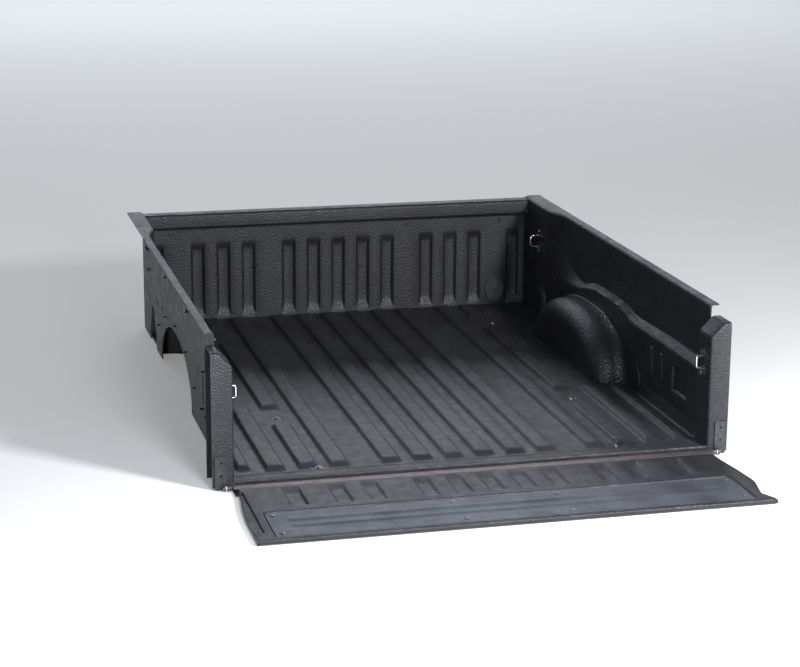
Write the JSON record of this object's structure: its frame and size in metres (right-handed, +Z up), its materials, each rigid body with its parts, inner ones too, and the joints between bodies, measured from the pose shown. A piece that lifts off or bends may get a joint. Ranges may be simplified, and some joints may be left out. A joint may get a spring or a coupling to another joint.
{
  "type": "truck bed liner",
  "caption": "Moulded multi-piece pickup bed liner with ribbed floor, fluted walls, wheel covers, tie-down loops and a hinged tailgate liner.",
  "frame": {"origin": "centre of the whole liner in plan, on the underside of its foam strips, where it rests on the truck's bed floor", "axes": "+X to the vehicle's right side, +Y forward to the cab, +Z up; the tailgate liner lies open at -Y"},
  "size_m": [1.616, 2.442, 0.447],
  "materials": {
    "liner_plastic": "pebble-grained moulded liner plastic, charcoal",
    "cover_plastic": "pebble-grained moulded plastic, charcoal",
    "badge_plastic": "smooth satin plastic",
    "black_trim": "satin black nylon",
    "closed_cell_foam": "closed-cell polyethylene foam",
    "gasket_rubber": "soft black rubber",
    "nylon": "natural nylon",
    "loop_chrome": "bright plated steel",
    "zinc_steel": "dark zinc-plated steel",
    "coated_steel": "powder-coated steel",
    "rail_steel": "plain galvanised steel"
  },
  "bodies": {
    "bed": {"floor_panel": "liner_plastic", "floor_underlay": "closed_cell_foam", "floor_bolts": "zinc_steel", "floor_washers": "zinc_steel", "floor_push_pins": "black_trim", "front_wall_panel": "liner_plastic", "front_top_cap": "liner_plastic", "front_wall_badge": "badge_plastic", "front_wall_rivets": "black_trim", "side_panel_left": "liner_plastic", "side_panel_right": "liner_plastic", "side_rivets_left": "black_trim", "side_rivets_right": "black_trim", "wheel_cover_left": "liner_plastic", "wheel_cover_right": "liner_plastic", "wheel_cover_rivets_left": "black_trim", "wheel_cover_rivets_right": "black_trim", "rear_post_cover_left": "liner_plastic", "rear_post_cover_right": "liner_plastic", "rail_clips_left": "coated_steel", "rail_clips_right": "coated_steel", "tie_down_loop_front_left": "loop_chrome", "tie_down_loop_front_right": "loop_chrome", "tie_down_loop_rear_left": "loop_chrome", "tie_down_loop_rear_right": "loop_chrome", "tie_down_gaskets": "gasket_rubber", "tie_down_nuts": "zinc_steel", "hinge_bracket_left": "coated_steel", "hinge_bracket_right": "coated_steel", "hinge_pin_left": "zinc_steel", "hinge_pin_right": "zinc_steel"},
    "tailgate": {"tailgate_panel": "liner_plastic", "tailgate_access_cover": "cover_plastic", "access_cover_screws": "zinc_steel", "tailgate_hinge_rail": "rail_steel", "tailgate_side_frame_left": "coated_steel", "tailgate_side_frame_right": "coated_steel", "hinge_knuckle_left": "coated_steel", "hinge_knuckle_right": "coated_steel", "hinge_bush_left": "nylon", "hinge_bush_right": "nylon"}
  },
  "joints": [
    {"name": "tailgate_hinge", "type": "hinge", "parent": "bed", "child": "tailgate", "pos_m": [0, -0.745, 0.0095], "axis": [-1, 0, 0], "range_deg": [0, 90]}
  ]
}
